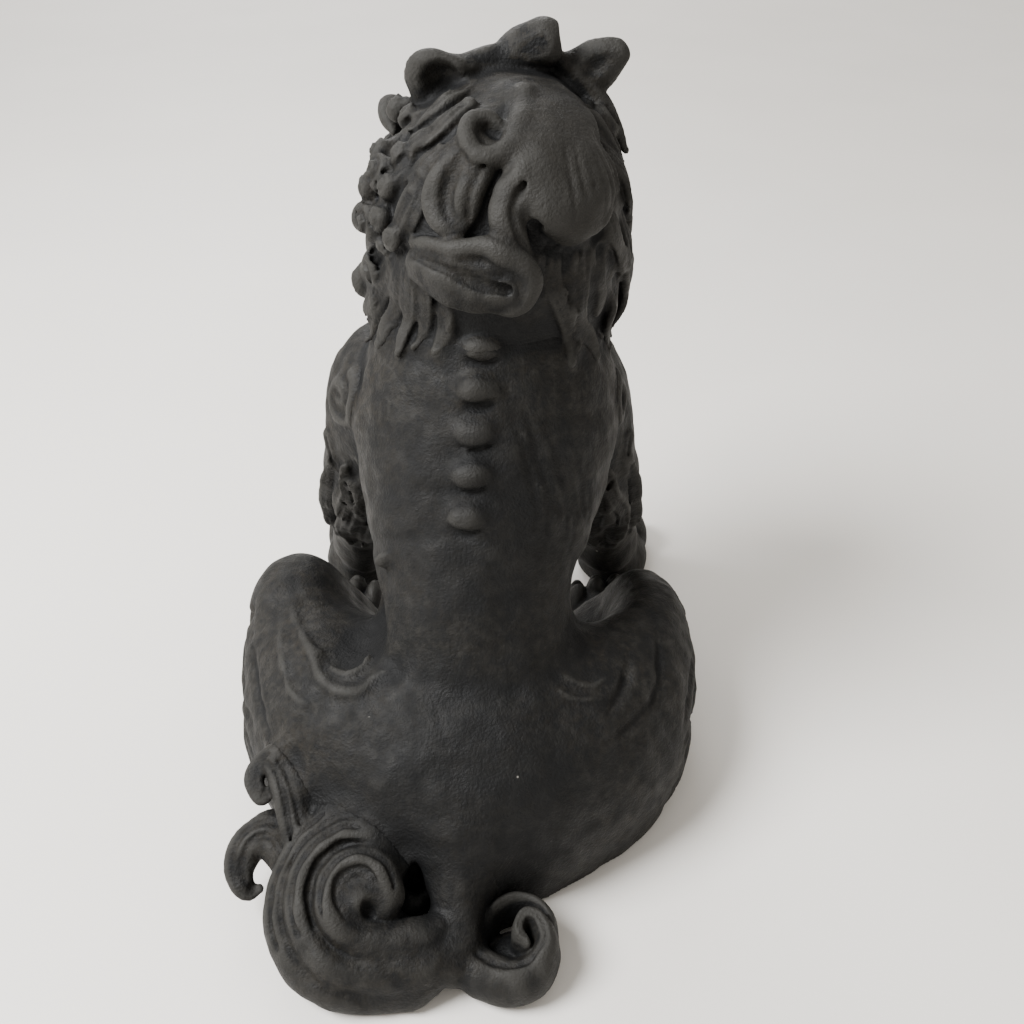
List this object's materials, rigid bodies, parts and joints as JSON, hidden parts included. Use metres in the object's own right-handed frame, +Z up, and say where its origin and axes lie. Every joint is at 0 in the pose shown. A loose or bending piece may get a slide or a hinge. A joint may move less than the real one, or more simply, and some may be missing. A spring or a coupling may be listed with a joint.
{
  "type": "guardian lion figure",
  "caption": "Seated guardian lion in black cast iron with a turned head, a curled mane, a knobbed spine and a scrolled tail, cast in sections and bolted from inside its hollow body.",
  "frame": {"origin": "middle of the figure's bounding box, at the flat it stands on", "axes": "+Z up, the lion faces -Y, and +X is the lion's own left, to which its head is turned"},
  "size_m": [0.1702, 0.2518, 0.2478],
  "materials": {
    "iron": "black patina with warm brown rubbed places and a soft sheen",
    "fixings": "dark mild steel, lightly rusted"
  },
  "bodies": {
    "root": {"body_casting": "iron", "head_casting": "iron", "left_ear": "iron", "right_ear": "iron", "horn": "iron", "left_foreleg": "iron", "right_foreleg": "iron", "left_hind_paw": "iron", "right_hind_paw": "iron", "tail_plume": "iron", "tail_scroll": "iron", "tail_scroll_dowel": "fixings", "neck_stud": "fixings", "neck_washer": "fixings", "neck_nut": "fixings", "tail_stud": "fixings", "tail_washer": "fixings", "tail_nut": "fixings", "left_foreleg_stud": "fixings", "left_foreleg_washer": "fixings", "left_foreleg_nut": "fixings", "left_hind_paw_stud": "fixings", "left_hind_paw_washer": "fixings", "left_hind_paw_nut": "fixings", "right_foreleg_stud": "fixings", "right_foreleg_washer": "fixings", "right_foreleg_nut": "fixings", "right_hind_paw_stud": "fixings", "right_hind_paw_washer": "fixings", "right_hind_paw_nut": "fixings"}
  },
  "joints": []
}
